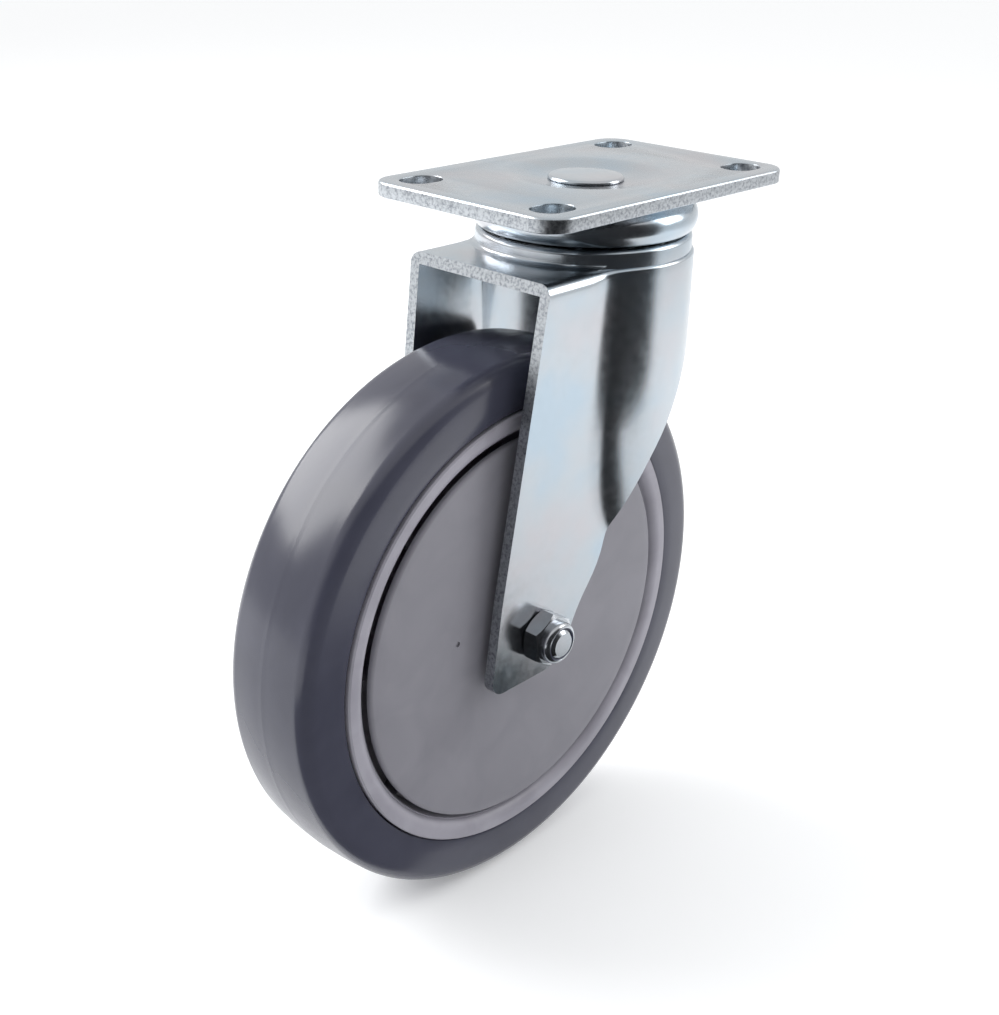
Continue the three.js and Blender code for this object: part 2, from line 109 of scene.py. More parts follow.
camera.matrix_world = Matrix.Translation(eye) @ turn
bpy.context.scene.camera = camera
bpy.context.scene.view_settings.view_transform = "Standard"

deselect()
bpy.ops.mesh.primitive_plane_add(size=16, location=(0, 0, cad_box[0].z - 0.0002))
floor = bpy.context.object
floor.name = "studio_floor"
bpy.ops.object.transform_apply(location=True)
floor_paint = bpy.data.materials.new("matt_floor_paint")
floor_paint.use_nodes = True
tree = floor_paint.node_tree
shader = tree.nodes["Principled BSDF"]
shader.inputs["Roughness"].default_value = 0.9
shader.inputs["Specular IOR Level"].default_value = 0.2
shader.inputs["Base Color"].default_value = linear(FLOOR_WHITE)
shader.inputs["Emission Color"].default_value = linear(FLOOR_WHITE)
shader.inputs["Emission Strength"].default_value = FLOOR_GLOW
floor.data.materials.append(floor_paint)

world = bpy.data.worlds.new("white_studio")
bpy.context.scene.world = world
world.use_nodes = True
tree = world.node_tree
tree.nodes.clear()
coordinates = add(tree, "TexCoord")
towards_viewer = Vector((-0.735, -0.678, 0.05)).normalized()
facing = add(
    tree,
    "VectorMath",
    values={1: tuple(towards_viewer)},
    links={0: coordinates.outputs["Generated"]},
    operation="DOT_PRODUCT",
)
shade = add(
    tree,
    "MapRange",
    values={"From Min": 0.55, "From Max": 0.97, "To Min": 0.0, "To Max": 1.0},
    links={"Value": facing.outputs["Value"]},
    interpolation_type="SMOOTHSTEP",
)
room = add(
    tree,
    "Mix",
    values={6: linear(ROOM_WHITE), 7: linear(ROOM_DARK)},
    links={0: shade.outputs["Result"]},
    data_type="RGBA",
)
# The dark part is for reflections only: seen straight on, the room is white all round.
seen = add(
    tree,
    "Mix",
    values={7: linear(ROOM_WHITE)},
    links={0: add(tree, "LightPath").outputs["Is Camera Ray"], 6: room.outputs[2]},
    data_type="RGBA",
)
lit = add(tree, "Background", values={"Strength": 0.92}, links={"Color": seen.outputs[2]})
tree.links.new(lit.outputs["Background"], add(tree, "OutputWorld").inputs["Surface"])

# Two soft boxes: a large one high beyond the wheel, which lights the tread, and a small one on the
# nut side past the fork's back.
for name, place, aim, size, power in [
    ("soft_box_tread", (-0.45, 0.86, 0.60), (-0.09, 0, -0.08), (0.95, 0.75), 13.0),
    ("soft_box_nut_side", (0.42, -0.36, 0.22), (-0.03, 0, -0.08), (0.3, 0.3), 1.1),
]:
    light_data = bpy.data.lights.new(name, "AREA")
    light_data.shape = "RECTANGLE"
    light_data.size, light_data.size_y = size
    light_data.energy = power
    light = bpy.data.objects.new(name, light_data)
    bpy.context.scene.collection.objects.link(light)
    light.location = place
    light.rotation_mode = "QUATERNION"
    light.rotation_quaternion = (Vector(place) - Vector(aim)).to_track_quat("Z", "Y")

# Two black cards on the viewer's side, one upright and one on the floor, each fading out to the
# right. Only reflections in polished metal and gloss show them.
CARD_AZIMUTH, CARD_DISTANCE, CARD_TOP, CARD_NEAR, CARD_LEFT = -112.0, 0.26, 0.16, 0.05, -0.30
turn = math.radians(CARD_AZIMUTH)
out, across = Vector((math.cos(turn), math.sin(turn), 0)), Vector((-math.sin(turn), math.cos(turn), 0))
card_foot = cad_box[0].z + 0.001
for name, near, far, top, fade_from, fade_to in [
    ("black_card_upright", CARD_DISTANCE, CARD_DISTANCE, CARD_TOP, 0.24, 0.40),
    ("black_card_on_floor", CARD_NEAR, CARD_DISTANCE, card_foot, 0.07, 0.105),
]:
    deselect()
    bpy.ops.mesh.primitive_plane_add(size=1)
    card = bpy.context.object
    card.name = name
    for v in card.data.vertices:
        reach, height = (near, card_foot) if v.co.y < 0 else (far, top)
        v.co = out * reach + across * (CARD_LEFT if v.co.x < 0 else fade_to) + Vector((0, 0, height))
    black_card = bpy.data.materials.new("matt_" + name)
    black_card.use_nodes = True
    tree = black_card.node_tree
    shader = tree.nodes["Principled BSDF"]
    shader.inputs["Base Color"].default_value = linear("1A1B1E")
    shader.inputs["Roughness"].default_value = 0.9
    along = add(
        tree,
        "VectorMath",
        values={1: tuple(across)},
        links={0: add(tree, "TexCoord").outputs["Object"]},
        operation="DOT_PRODUCT",
    )
    fade = add(
        tree,
        "MapRange",
        values={"From Min": fade_from, "From Max": fade_to, "To Min": 1.0, "To Max": 0.0},
        links={"Value": along.outputs["Value"]},
        interpolation_type="SMOOTHSTEP",
    )
    tree.links.new(fade.outputs["Result"], shader.inputs["Alpha"])
    card.data.materials.append(black_card)
    card.visible_camera = card.visible_diffuse = card.visible_shadow = False


# ---- top plate ----
# A flat plate blanked from about 3 mm steel, with four bolt slots and a round dish pressed in its
# middle for the king pin. The blanking leaves a rolled upper edge. It is then zinc plated.
PLATE_CORNER_R = 7.0
PLATE_TOP_ROUND, PLATE_BOTTOM_ROUND = 0.75, 0.35
SLOT_LONG, SLOT_WIDE, SLOT_PITCH_X, SLOT_PITCH_Y = 11.5, 9.0, 75.0, 43.0
SLOT_ROUND = 0.35
DISH_DEPTH, DISH_FLOOR_R, DISH_RIM_R = 1.5, 11.6, 22.0
PIN_HOLE_R = 5.8
ZINC_COLOUR, ZINC_COLOUR_COOL, ZINC_COLOUR_WARM = "B1B8BE", "A9B7C2", "B6B6BA"
TORN_COLOUR, BURNISHED_COLOUR = "80848A", "B4B8BC"
TORN_GRAIN, TORN_DEPTH = 0.8, 0.08


def put(point):
    """Moves the one selected point of the mesh in edit mode by that many millimetres."""
    bpy.ops.transform.translate(value=[c * MM for c in point])


def drawn(name, points):
    """Starts a mesh and leaves it in edit mode as a closed chain of edges through points in mm."""
    deselect()
    bpy.ops.mesh.primitive_plane_add(size=MM, location=(0, 0, 0))
    piece = bpy.context.object
    piece.name = name
    bpy.ops.object.mode_set(mode="EDIT")
    bpy.ops.mesh.select_mode(type="VERT")
    bpy.ops.mesh.select_all(action="SELECT")
    bpy.ops.mesh.merge(type="CENTER")
    put(points[0])
    for a, b in zip(points, points[1:]):
        step = [(q - p) * MM for p, q in zip(a, b)]
        bpy.ops.mesh.extrude_vertices_move(TRANSFORM_OT_translate={"value": step})
    return piece


def tidy(piece, angle=32.0):
    """Leaves edit mode with points merged, faces outwards and smooth shading up to an angle."""
    bpy.ops.mesh.select_all(action="SELECT")
    bpy.ops.mesh.remove_doubles(threshold=2e-6)
    bpy.ops.mesh.normals_make_consistent(inside=False)
    bpy.ops.object.mode_set(mode="OBJECT")
    bpy.ops.object.shade_smooth_by_angle(angle=math.radians(angle))
    return piece


def arc(centre_r, centre_h, radius, start, end, steps):
    """Points of an arc in the (radius, height) plane, both ends included, angles in degrees."""
    angles = [math.radians(start + (end - start) * i / steps) for i in range(steps + 1)]
    return [(centre_r + radius * math.cos(a), centre_h + radius * math.sin(a)) for a in angles]


def spun(name, outline, centre=(0, 0, 0), axis="Z", steps=96, angle=32.0):
    """A closed (radius, height) outline in mm, spun all the way round an axis through centre in mm."""
    cx, cy, cz = centre
    if axis == "Z":
        points = [(cx + r, cy, cz + h) for r, h in outline]
    else:
        points = [(cx + r, cy + h, cz) for r, h in outline]
    if not (outline[0][0] == 0 and outline[-1][0] == 0):
        points.append(points[0])
    piece = drawn(name, points)
    bpy.ops.mesh.select_all(action="SELECT")
    way = (0, 0, 1) if axis == "Z" else (0, 1, 0)
    bpy.ops.mesh.spin(steps=steps, angle=2 * math.pi, center=[c * MM for c in centre], axis=way)
    return tidy(piece, angle)


def slab(name, points, along, depth):
    """A closed outline of points in mm, filled and drawn out along a direction by a depth in mm."""
    piece = drawn(name, points + [points[0]])
    bpy.ops.mesh.select_all(action="SELECT")
    bpy.ops.mesh.remove_doubles(threshold=2e-6)
    bpy.ops.mesh.edge_face_add()
    step = [c * depth * MM for c in along]
    bpy.ops.mesh.extrude_region_move(TRANSFORM_OT_translate={"value": step})
    return tidy(piece)


def cut(piece, tool, operation="DIFFERENCE"):
    """Cuts, joins or keeps the common part of a piece with a tool piece, which is used up."""
    deselect()
    bpy.context.view_layer.objects.active = piece
    piece.select_set(True)
    change = piece.modifiers.new("press_tool", "BOOLEAN")
    change.object = tool
    change.operation = operation
    change.solver = "EXACT"
    bpy.ops.object.modifier_apply(modifier=change.name)
    bpy.data.objects.remove(tool, do_unlink=True)
    return piece


def settled(piece, angle=32.0):
    """Merges what a cut left behind and shades the piece smooth up to an angle."""
    deselect()
    bpy.context.view_layer.objects.active = piece
    piece.select_set(True)
    bpy.ops.object.mode_set(mode="EDIT")
    return tidy(piece, angle)


def fitted(piece, body, slot, nodes, *materials):
    """Gives a finished piece its materials, the body it rides on and the nodes it stands for."""
    for material in materials:
        piece.data.materials.append(material)
    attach(piece, body)
    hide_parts(*nodes)
    return piece


def zinc_finish(name, roughness, lines_mm, lines_depth, way, peel_depth=0.0):
    """Zinc-plated steel: cool, slightly uneven, with the sheet's fine lines and, if asked, a swell."""
    material = bpy.data.materials.new(name)
    material.use_nodes = True
    tree = material.node_tree
    shader = tree.nodes["Principled BSDF"]
    shader.inputs["Metallic"].default_value = 1.0
    place = add(tree, "TexCoord").outputs["Object"]
    clouds = add(
        tree,
        "TexNoise",
        values={"Scale": 1 / (26 * MM), "Detail": 3.0, "Roughness": 0.55},
        links={"Vector": place},
    )
    tint = add(tree, "ValToRGB", links={"Fac": clouds.outputs["Fac"]})
    tint.color_ramp.elements[0].position = 0.34
    tint.color_ramp.elements[0].color = linear(ZINC_COLOUR_COOL)
    tint.color_ramp.elements[1].position = 0.68
    tint.color_ramp.elements[1].color = linear(ZINC_COLOUR_WARM)
    middle = tint.color_ramp.elements.new(0.5)
    middle.color = linear(ZINC_COLOUR)
    tree.links.new(tint.outputs["Color"], shader.inputs["Base Color"])
    grain = add(
        tree,
        "TexNoise",
        values={"Scale": 1 / (2.2 * MM), "Detail": 4.0, "Roughness": 0.6},
        links={"Vector": place},
    )
    gloss = add(
        tree,
        "MapRange",
        values={"From Min": 0.3, "From Max": 0.7, "To Min": roughness - 0.03, "To Max": roughness + 0.04},
        links={"Value": grain.outputs["Fac"]},
    )
    tree.links.new(gloss.outputs["Result"], shader.inputs["Roughness"])
    # Rolling lines are finer than this on real sheet; they are drawn coarse enough to show.
    stretch = add(
        tree,
        "Mapping",
        values={"Scale": tuple((0.04 if w else 1.0) / (lines_mm * MM) for w in way)},
        links={"Vector": place},
    )
    lines = add(
        tree,
        "TexNoise",
        values={"Scale": 1.0, "Detail": 2.0, "Roughness": 0.5},
        links={"Vector": stretch.outputs["Vector"]},
    )
    bump = add(
        tree,
        "Bump",
        values={"Strength": 1.0, "Distance": lines_depth * MM},
        links={"Height": lines.outputs["Fac"]},
    )
    if peel_depth:
        swell = add(
            tree,
            "TexNoise",
            values={"Scale": 1 / (9 * MM), "Detail": 1.0, "Roughness": 0.4},
            links={"Vector": place},
        )
        wave = add(
            tree,
            "Bump",
            values={"Strength": 1.0, "Distance": peel_depth * MM},
            links={"Height": swell.outputs["Fac"], "Normal": bump.outputs["Normal"]},
        )
        bump = wave
    tree.links.new(bump.outputs["Normal"], shader.inputs["Normal"])
    return material


plate_low, plate_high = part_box("top_plate")
PLATE_LENGTH = (plate_high.x - plate_low.x) / MM
PLATE_WIDTH = (plate_high.y - plate_low.y) / MM
PLATE_TOP = plate_high.z / MM
PLATE_THICK = -PLATE_TOP - plate_low.z / MM - DISH_DEPTH

deselect()
bpy.ops.mesh.primitive_cube_add(
    size=1,
    scale=(PLATE_LENGTH * MM, PLATE_WIDTH * MM, PLATE_THICK * MM),
    location=(0, 0, (PLATE_TOP - PLATE_THICK / 2) * MM),
)
plate = bpy.context.object
plate.name = "pressed_top_plate"
bpy.ops.object.transform_apply(location=True, scale=True)


def keep_edges(piece, wanted):
    """Selects the edges whose two ends both pass a test on their place in mm."""
    bpy.ops.object.mode_set(mode="EDIT")
    bpy.ops.mesh.select_mode(type="EDGE")
    bpy.ops.mesh.select_all(action="DESELECT")
    bpy.ops.object.mode_set(mode="OBJECT")
    points = piece.data.vertices
    for edge in piece.data.edges:
        ends = [points[i].co / MM for i in edge.vertices]
        edge.select = wanted(*ends)
    bpy.ops.object.mode_set(mode="EDIT")


keep_edges(plate, lambda a, b: abs(a.z - b.z) > PLATE_THICK * 0.9)
bpy.ops.mesh.bevel(offset=PLATE_CORNER_R * MM, segments=12, affect="EDGES")
bpy.ops.object.mode_set(mode="OBJECT")
for height, size, steps in [
    (PLATE_TOP, PLATE_TOP_ROUND, 5),
    (PLATE_TOP - PLATE_THICK, PLATE_BOTTOM_ROUND, 3),
]:
    keep_edges(plate, lambda a, b: abs(a.z - height) < 0.01 and abs(b.z - height) < 0.01)
    bpy.ops.mesh.bevel(offset=size * MM, segments=steps, affect="EDGES")
    bpy.ops.object.mode_set(mode="OBJECT")


def s_curve(t):
    """A smooth step from 0 to 1 as t goes from 0 to 1."""
    return t * t * (3 - 2 * t)


# The dish is an S in section: it rolls off the plate's top and out again on to a flat floor.
dish_curve = [
    (DISH_RIM_R + (DISH_FLOOR_R - DISH_RIM_R) * i / 16, -DISH_DEPTH * s_curve(i / 16))
    for i in range(17)
]
boss = [(0, -DISH_DEPTH - PLATE_THICK)]
boss += [(r + 0.6 if r > DISH_FLOOR_R else r, h - PLATE_THICK) for r, h in reversed(dish_curve)]
boss += [(DISH_RIM_R + 0.6, -PLATE_THICK + 0.5), (0, -PLATE_THICK + 0.5)]
cut(plate, spun("dish_underside", boss, steps=128), "UNION")
hollow = [(0, -DISH_DEPTH)] + list(reversed(dish_curve)) + [(DISH_RIM_R, 1.0), (0, 1.0)]
cut(plate, spun("dish_punch", hollow, steps=128))
hole = [(0, -9), (PIN_HOLE_R, -9), (PIN_HOLE_R, 2), (0, 2)]
cut(plate, spun("pin_hole_punch", hole, steps=48))

for sx in (-1, 1):
    for sy in (-1, 1):
        r = SLOT_WIDE / 2
        punch = [(0, -5), (r, -5), (r, -SLOT_ROUND)]
        punch += arc(r + SLOT_ROUND, -SLOT_ROUND, SLOT_ROUND, 180, 90, 3)[1:]
        punch += [(r + SLOT_ROUND, 1), (0, 1)]
        place = (sx * SLOT_PITCH_X / 2, sy * SLOT_PITCH_Y / 2, 0)
        tool = spun("slot_punch", punch, centre=place, steps=48)
        reach = (SLOT_LONG - SLOT_WIDE) / 2
        for v in tool.data.vertices:
            shift = v.co.x - place[0] * MM
            if abs(shift) > 1e-7:
                v.co.x += math.copysign(reach * MM, shift)
        cut(plate, tool)
settled(plate, 24)

zinc_plate = zinc_finish("zinc_plated_rolled_sheet", 0.27, 0.55, 0.0025, (1, 0, 0), 0.02)


def sheared(piece, wanted):
    """Gives the faces that pass a test on their middle in mm and their normal the second material."""
    for face in piece.data.polygons:
        if wanted(face.center / MM, face.normal):
            face.material_index = 1


# A sheared edge is burnished for part of its depth and torn below. Plating leaves it bright with
# dark specks, and it scatters light.
zinc_sheared = bpy.data.materials.new("zinc_plated_sheared_edge")
zinc_sheared.use_nodes = True
tree = zinc_sheared.node_tree
shader = tree.nodes["Principled BSDF"]
shader.inputs["Metallic"].default_value = 1.0
shader.inputs["Roughness"].default_value = 0.34
torn = add(
    tree,
    "TexNoise",
    values={"Scale": 1 / (TORN_GRAIN * MM), "Detail": 5.0, "Roughness": 0.65},
    links={"Vector": add(tree, "TexCoord").outputs["Object"]},
)
specks = add(tree, "ValToRGB", links={"Fac": torn.outputs["Fac"]})
specks.color_ramp.elements[0].position = 0.36
specks.color_ramp.elements[0].color = linear(TORN_COLOUR)
specks.color_ramp.elements[1].position = 0.56
specks.color_ramp.elements[1].color = linear(BURNISHED_COLOUR)
tree.links.new(specks.outputs["Color"], shader.inputs["Base Color"])
bump = add(
    tree,
    "Bump",
    values={"Strength": 1.0, "Distance": TORN_DEPTH * MM},
    links={"Height": torn.outputs["Fac"]},
)
tree.links.new(bump.outputs["Normal"], shader.inputs["Normal"])
fitted(plate, "plate_assembly", "zinc_plated_steel", ["top_plate"], zinc_plate, zinc_sheared)


def on_plate_edge(c, n):
    """The plate's upright outer faces, clear of the bolt slots."""
    return abs(n.z) < 0.3 and (abs(c.x) > plate_high.x / MM - 6 or abs(c.y) > plate_high.y / MM - 1)


sheared(plate, on_plate_edge)


# ---- upper race ring ----
# A ring pressed and turned from steel, staked under the plate. Its neck flares into a round bulge
# that covers the upper balls, and its lip runs just over the fork's head. Bright zinc plate.
NECK_R, NECK_LINE_R, RING_BORE_R = 26.8, 27.15, 21.2
BULGE_R, BULGE_CENTRE_R, BULGE_Z, LIP_Z = 5.0, 24.1, -9.2, -12.7
UPPER_GROOVE = (23, -10.6, 3.475)  # its arc's centre radius, centre height and radius

_, ring_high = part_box("upper_race_ring")
ring_top = ring_high.z / MM + 0.25
flare = math.degrees(math.acos((NECK_R - BULGE_CENTRE_R) / BULGE_R))
tuck = math.degrees(math.asin((LIP_Z - BULGE_Z) / BULGE_R))
neck_foot = BULGE_Z + BULGE_R * math.sin(math.radians(flare))
outline = [(RING_BORE_R, ring_top), (NECK_LINE_R, ring_top), (NECK_LINE_R, ring_top - 0.8)]
outline += [(NECK_R, ring_top - 1.0), (NECK_R, neck_foot + 0.5)]
outline += arc(BULGE_CENTRE_R, BULGE_Z, BULGE_R, flare - 4, tuck + 4, 22)
outline += arc(BULGE_CENTRE_R, BULGE_Z, BULGE_R - 0.5, tuck - 2, tuck - 6, 2)
outline += [(25.6, LIP_Z + 0.2)] + arc(*UPPER_GROOVE, -36, 90, 12) + [(RING_BORE_R, -7.12)]
race_ring = spun("swivel_race_ring", outline, steps=160)
zinc_pressed = zinc_finish("zinc_plated_turned_pressing", 0.2, 0.5, 0.002, (0, 0, 1), 0.012)
fitted(race_ring, "plate_assembly", "zinc_plated_steel", ["upper_race_ring"], zinc_pressed)


# ---- king pin ----
# A headed steel pin that holds the swivel together. Its wide flat head sits in the plate's dish,
# and its tail is riveted over under the fork. Zinc plated after it is turned.
HEAD_EDGE_ROUND = 0.8
PIN_SHANK_R, PIN_WAIST_R, TAIL_R = 5.5, 7.0, 7.6

pin_low, pin_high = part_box("king_pin")
head_r = pin_high.x / MM
head_top = pin_high.z / MM
tail_end = pin_low.z / MM
seat = -DISH_DEPTH + 0.05
outline = [(0, head_top), (head_r * 0.55, head_top - 0.02)]
outline += arc(head_r - HEAD_EDGE_ROUND, head_top - 0.05 - HEAD_EDGE_ROUND, HEAD_EDGE_ROUND, 86, 0, 8)
outline += [(head_r, seat + 0.2), (head_r - 0.2, seat), (PIN_SHANK_R, seat), (PIN_SHANK_R, -5.5)]
outline += [(PIN_WAIST_R, -5.5), (PIN_WAIST_R, tail_end + 7.5), (PIN_SHANK_R, tail_end + 7.5)]
outline += [(PIN_SHANK_R, tail_end + 2.4), (TAIL_R, tail_end + 2.4)]
outline += arc(6.6, tail_end + 1.4, 1.0, 0, -60, 4) + [(4.4, tail_end + 0.15), (3.2, tail_end + 0.5)]
outline += [(0, tail_end + 0.6)]
pin = spun("riveted_king_pin", outline, steps=96)
zinc_turned = zinc_finish("zinc_plated_turned_steel", 0.19, 0.4, 0.0015, (1, 1, 0), 0.006)
fitted(pin, "plate_assembly", "zinc_plated_steel", ["king_pin"], zinc_turned)


# ---- swivel balls ----
# Two rows of hardened steel balls, each kept at even spacing by a flat ring, run in greased races
# above and below the fork's head. They are shut in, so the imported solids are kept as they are.
STEEL_COLOUR, STEEL_OILED = "B9BCC0", "8F8E88"
bearing_steel = bpy.data.materials.new("ground_bearing_steel_with_oil_film")
bearing_steel.use_nodes = True
tree = bearing_steel.node_tree
shader = tree.nodes["Principled BSDF"]
shader.inputs["Metallic"].default_value = 1.0
place = add(tree, "TexCoord").outputs["Object"]
film = add(tree, "TexNoise", values={"Scale": 1 / (3 * MM), "Detail": 3.0}, links={"Vector": place})
oil = add(tree, "ValToRGB", links={"Fac": film.outputs["Fac"]})
oil.color_ramp.elements[0].position = 0.38
oil.color_ramp.elements[0].color = linear(STEEL_OILED)
oil.color_ramp.elements[1].position = 0.62
oil.color_ramp.elements[1].color = linear(STEEL_COLOUR)
tree.links.new(oil.outputs["Color"], shader.inputs["Base Color"])
wet = add(
    tree,
    "MapRange",
    values={"From Min": 0.3, "From Max": 0.7, "To Min": 0.12, "To Max": 0.26},
    links={"Value": film.outputs["Fac"]},
)
tree.links.new(wet.outputs["Result"], shader.inputs["Roughness"])


def kept(node, material):
    """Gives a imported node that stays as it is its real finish."""
    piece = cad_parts[node]
    piece.data.materials.clear()
    piece.data.materials.append(material)


for node in ("upper_ball_row", "lower_ball_row"):
    kept(node, bearing_steel)


# ---- swivel fork ----
# One pressing from 3 mm steel: a yoke whose two legs are joined by a round back, and a raised round
# head that carries both ball races. The blank is sheared, drawn to shape and zinc plated.
SHEET = 3.0
YOKE_TOP, YOKE_FOOT, YOKE_FRONT = -17.6, -128.0, -66.0
LEG_HALF_TOP, LEG_HALF, PARALLEL_Z = 23.4, 20.5, -99.0
LEG_BEND, BACK_BEND, BEND_FADE_FROM, BEND_FADE_TO = 3.2, 1.1, -26.0, -11.0
BACK_R, BACK_FADE, BACK_FADE_TOP, BACK_FADE_FOOT = 28.8, 7.6, -38.0, -95.0
VALLEY_R = 12.0
HEAD_R, HEAD_TOP, HEAD_ROUND, HEAD_FILLET = 28.1, -13.3, 1.4, 1.4
THROAT_R, SOFFIT_Z = 22.4, -17.9
HEAD_FOOT_Z, FILLET_FOOT_Z, FILLET_BACK = -20.3, -20.1, 1.5
LOWER_GROOVE = (16, -18.2, 2.68)  # its arc's centre radius, centre height and radius
AXLE_HOLE_R = 4.3


def leg_half(z):
    """Half width across the yoke's legs at a height."""
    rise = min(max((z - PARALLEL_Z) / (YOKE_TOP - PARALLEL_Z), 0), 1)
    return LEG_HALF + (LEG_HALF_TOP - LEG_HALF) * rise


def back_radius(z):
    """Radius of the drawn back at a height: it narrows until it has faded into the legs."""
    fade = min(max((BACK_FADE_TOP - z) / (BACK_FADE_TOP - BACK_FADE_FOOT), 0), 1)
    return max(BACK_R - BACK_FADE * fade**3, leg_half(z) + 0.05)


def yoke_plan(z, inset=0.0, flats=20, bends=10, rounds=30):
    """One side of the yoke's outline seen from above: (x, y, outward x, outward y, bend radius)."""
    half, r, valley = leg_half(z) - inset, back_radius(z) - inset, VALLEY_R + inset
    front = YOKE_FRONT - inset
    valley_x = -math.sqrt(max((r + valley) ** 2 - (half + valley) ** 2, 0))
    outline = [(front + (valley_x - front) * i / flats, half, 0.0, 1.0) for i in range(flats)]
    inward = math.atan2(-(half + valley), -valley_x)
    for i in range(bends):
        a = -math.pi / 2 + (inward + math.pi / 2) * i / bends
        x, y = math.cos(a), math.sin(a)
        outline.append((valley_x + valley * x, half + valley + valley * y, -x, -y))
    start = math.atan2(half + valley, valley_x)
    for i in range(rounds + 1):
        a = start * (1 - i / rounds)
        outline.append((r * math.cos(a), r * math.sin(a), math.cos(a), math.sin(a)))
    plan = []
    for x, y, nx, ny in outline:
        t = min(max((x - BEND_FADE_FROM) / (BEND_FADE_TO - BEND_FADE_FROM), 0), 1)
        bend = LEG_BEND + (BACK_BEND - LEG_BEND) * t * t * (3 - 2 * t)
        plan.append((x, y, nx, ny, max(bend - inset, 0.3)))
    return plan


def whole_plan(z, inset=0.0):
    """The yoke's outline from the near leg's front, round the back, to the far leg's front."""
    side = yoke_plan(z, inset)
    return [(x, -y, nx, -ny, b) for x, y, nx, ny, b in side] + side[-2::-1]


def pressed(name, inset, bend_steps=8, wall_steps=52):
    """The drawn form as a closed block: a flat grid pressed to roof, bend, walls and a closed foot."""
    top, foot = YOKE_TOP - inset, YOKE_FOOT - inset
    columns = whole_plan(top, inset)
    rows = []
    for reach in (0.0, 0.5):
        rows.append([(x + (min(x, 0) - x) * (1 - reach), y * reach, top) for x, y, *_ in columns])
    for i in range(bend_steps + 1):
        a = math.pi / 2 * i / bend_steps
        row = []
        for x, y, nx, ny, bend in columns:
            pull = bend * (1 - math.sin(a))
            row.append((x - nx * pull, y - ny * pull, top - bend * (1 - math.cos(a))))
        rows.append(row)
    for i in range(1, wall_steps + 1):
        row = []
        for k, (*_, bend) in enumerate(columns):
            z = top - bend + (foot - top + bend) * i / wall_steps
            x, y = whole_plan(z, inset)[k][:2]
            row.append((x, y, z))
        rows.append(row)
    rows.append([(min(x, 0), 0.0, foot) for x, *_ in rows[-1]])
    deselect()
    bpy.ops.mesh.primitive_grid_add(x_subdivisions=len(columns) - 1, y_subdivisions=len(rows) - 1, size=1)
    form = bpy.context.object
    form.name = name
    for v in form.data.vertices:
        k = round((v.co.x + 0.5) * (len(columns) - 1))
        j = round((0.5 - v.co.y) * (len(rows) - 1))
        v.co = Vector(rows[j][k]) * MM
    bpy.ops.object.mode_set(mode="EDIT")
    bpy.ops.mesh.select_mode(type="VERT")
    bpy.ops.mesh.select_all(action="SELECT")
    bpy.ops.mesh.remove_doubles(threshold=2e-6)
    bpy.ops.mesh.select_all(action="DESELECT")
    bpy.ops.mesh.select_non_manifold()
    bpy.ops.mesh.edge_face_add()
    return tidy(form)


fork = cut(pressed("pressed_swivel_fork", 0.0), pressed("inside_of_yoke", SHEET))

throat = [(0, YOKE_TOP - SHEET - 2), (THROAT_R, YOKE_TOP - SHEET - 2), (THROAT_R, YOKE_TOP + 2)]
cut(fork, spun("throat_punch", throat + [(0, YOKE_TOP + 2)], steps=128))

head_wall = [(THROAT_R, SOFFIT_Z), (THROAT_R, HEAD_FOOT_Z), (HEAD_R, HEAD_FOOT_Z)]
head_wall += arc(HEAD_R - HEAD_ROUND, HEAD_TOP - HEAD_ROUND, HEAD_ROUND, 0, 90, 7)
head_wall += arc(*UPPER_GROOVE, -51, -144.9, 10) + [(12, -12.6), (12, -16.5)]
head_wall += arc(*LOWER_GROOVE, 140.6, 39.4, 8) + [(20.4, SOFFIT_Z)]
head = spun("raised_head", head_wall, steps=160)
fillet_wall = [(HEAD_R - FILLET_BACK, YOKE_TOP + HEAD_FILLET), (HEAD_R - FILLET_BACK, FILLET_FOOT_Z)]
fillet_wall += [(HEAD_R + HEAD_FILLET, FILLET_FOOT_Z)]
fillet_wall += arc(HEAD_R + HEAD_FILLET, YOKE_TOP + 0.02 + HEAD_FILLET, HEAD_FILLET, 270, 181, 8)
fillet = spun("fillet_under_head", fillet_wall, steps=160)
# The fillet is trimmed to the yoke's roof, so that it does not hang past the bend.
inside = []
for x, y, nx, ny, bend in whole_plan(YOKE_TOP):
    trim = 0.75 * bend
    inside.append((x - nx * trim, y - ny * trim, -24))
cut(fillet, slab("fillet_trim", inside, (0, 0, 1), 20), "INTERSECT")
cut(fork, head, "UNION")
cut(fork, fillet, "UNION")


def smooth_line(points, parts):
    """A smooth line through points, each stretch in equal parts, for a sheared edge."""
    line = []
    ends = [points[0], *points, points[-1]]
    for a, b, c, d in zip(ends, ends[1:], ends[2:], ends[3:]):
        for i in range(parts):
            t = i / parts
            line.append(
                tuple(
                    0.5
                    * (
                        2 * q
                        + (r - p) * t
                        + (2 * p - 5 * q + 4 * r - s) * t * t
                        + (3 * q - p - 3 * r + s) * t**3
                    )
                    for p, q, r, s in zip(a, b, c, d)
                )
            )
    return line + [points[-1]]


